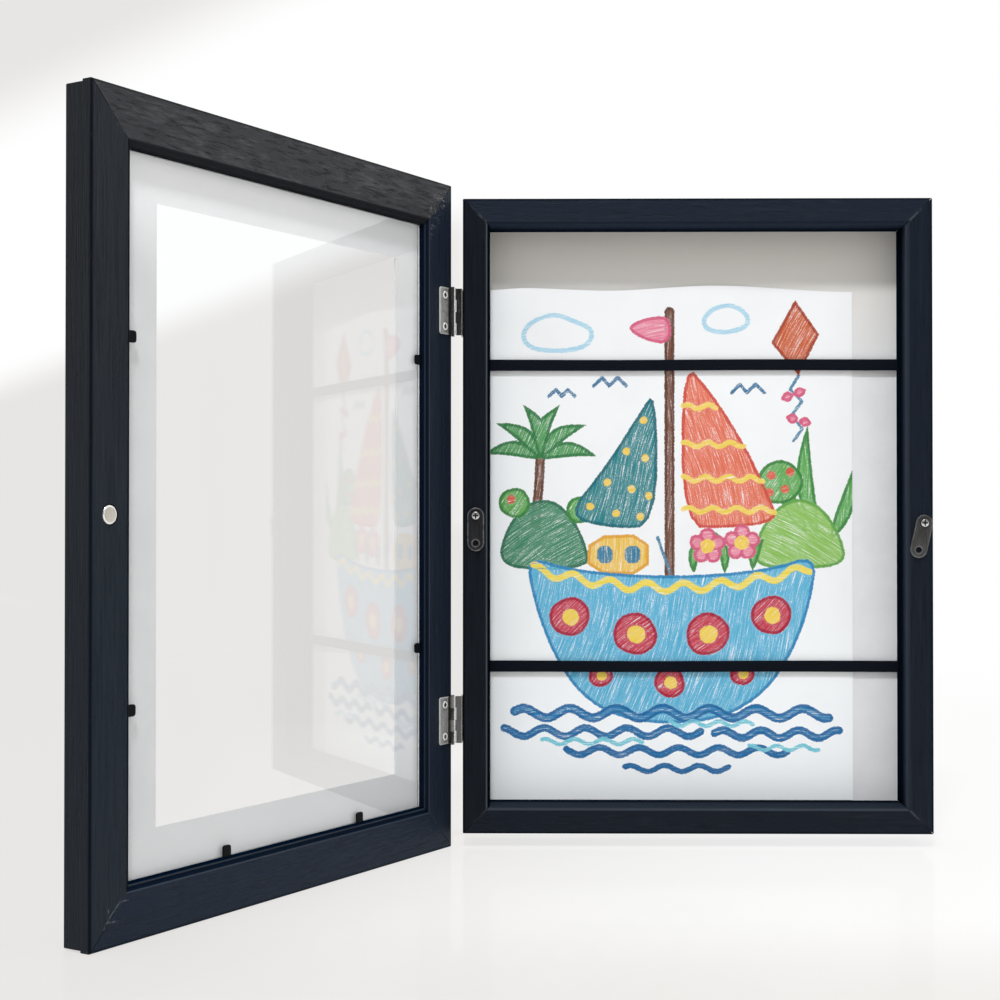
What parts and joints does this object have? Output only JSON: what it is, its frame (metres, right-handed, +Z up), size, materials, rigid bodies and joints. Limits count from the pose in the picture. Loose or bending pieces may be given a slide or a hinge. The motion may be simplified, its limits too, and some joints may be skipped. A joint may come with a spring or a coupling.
{
  "type": "childrens art frame",
  "caption": "Wall-hung picture box for children's drawings, with a glazed door on two hinges, elastic bands that hold the sheets and a magnetic catch.",
  "frame": {"origin": "middle of the top rail's flat back face, which rests on the wall", "axes": "+Y into the wall, so the front faces -Y; +Z up; +X to the right as seen from the front, away from the hinges"},
  "size_m": [0.4306, 0.2723, 0.375],
  "materials": {
    "black_wood": "black wood-grain foil, satin",
    "white_card": "matt",
    "hardboard": "smooth hardboard",
    "sheet_paper": "matt",
    "elastic": "woven",
    "black_point": "black",
    "bright_steel": "bright plated",
    "dark_steel": "dark plated",
    "clear_pane": "clear",
    "mat_card": "matt",
    "nickel": "nickel plated"
  },
  "bodies": {
    "box": {"box_top_rail": "black_wood", "box_bottom_rail": "black_wood", "box_left_stile": "black_wood", "box_right_stile": "black_wood", "backing_card": "white_card", "back_board": "hardboard", "art_sheet": "sheet_paper", "upper_elastic_band": "elastic", "lower_elastic_band": "elastic", "back_point_top_1": "black_point", "back_point_top_2": "black_point", "back_point_bottom_1": "black_point", "back_point_bottom_2": "black_point", "back_point_left_1": "black_point", "back_point_left_2": "black_point", "back_point_right_1": "black_point", "back_point_right_2": "black_point", "upright_hanger": "bright_steel", "upright_hanger_nail_1": "bright_steel", "upright_hanger_nail_2": "bright_steel", "sideways_hanger": "bright_steel", "sideways_hanger_nail_1": "bright_steel", "sideways_hanger_nail_2": "bright_steel", "upper_box_leaf": "bright_steel", "upper_box_leaf_screw_upper": "bright_steel", "upper_box_leaf_screw_lower": "bright_steel", "upper_hinge_pin": "bright_steel", "lower_box_leaf": "bright_steel", "lower_box_leaf_screw_upper": "bright_steel", "lower_box_leaf_screw_lower": "bright_steel", "lower_hinge_pin": "bright_steel", "left_pivot_screw": "bright_steel", "right_pivot_screw": "bright_steel"},
    "left_plate": {"left_catch_plate": "dark_steel"},
    "right_plate": {"right_catch_plate": "dark_steel"},
    "door": {"door_top_rail": "black_wood", "door_bottom_rail": "black_wood", "door_hinge_stile": "black_wood", "door_free_stile": "black_wood", "glazing_pane": "clear_pane", "mat_board": "mat_card", "pane_point_free_1": "black_point", "pane_point_free_2": "black_point", "pane_point_hinge_1": "black_point", "pane_point_hinge_2": "black_point", "pane_point_bottom_1": "black_point", "pane_point_bottom_2": "black_point", "door_magnet": "nickel", "upper_door_leaf": "bright_steel", "upper_door_leaf_screw_upper": "bright_steel", "upper_door_leaf_screw_lower": "bright_steel", "lower_door_leaf": "bright_steel", "lower_door_leaf_screw_upper": "bright_steel", "lower_door_leaf_screw_lower": "bright_steel"}
  },
  "joints": [
    {"name": "door_swing", "type": "hinge", "parent": "box", "child": "door", "pos_m": [-0.1387, -0.0343, -0.1755], "axis": [0, 0, -1], "range_deg": [-121, 59]},
    {"name": "left_plate_swivel", "type": "hinge", "parent": "box", "child": "left_plate", "pos_m": [-0.1257, -0.033, -0.1756], "axis": [0, 1, 0], "range_deg": [-215, 35]},
    {"name": "right_plate_swivel", "type": "hinge", "parent": "box", "child": "right_plate", "pos_m": [0.1279, -0.033, -0.1797], "axis": [0, 1, 0], "continuous": true}
  ]
}
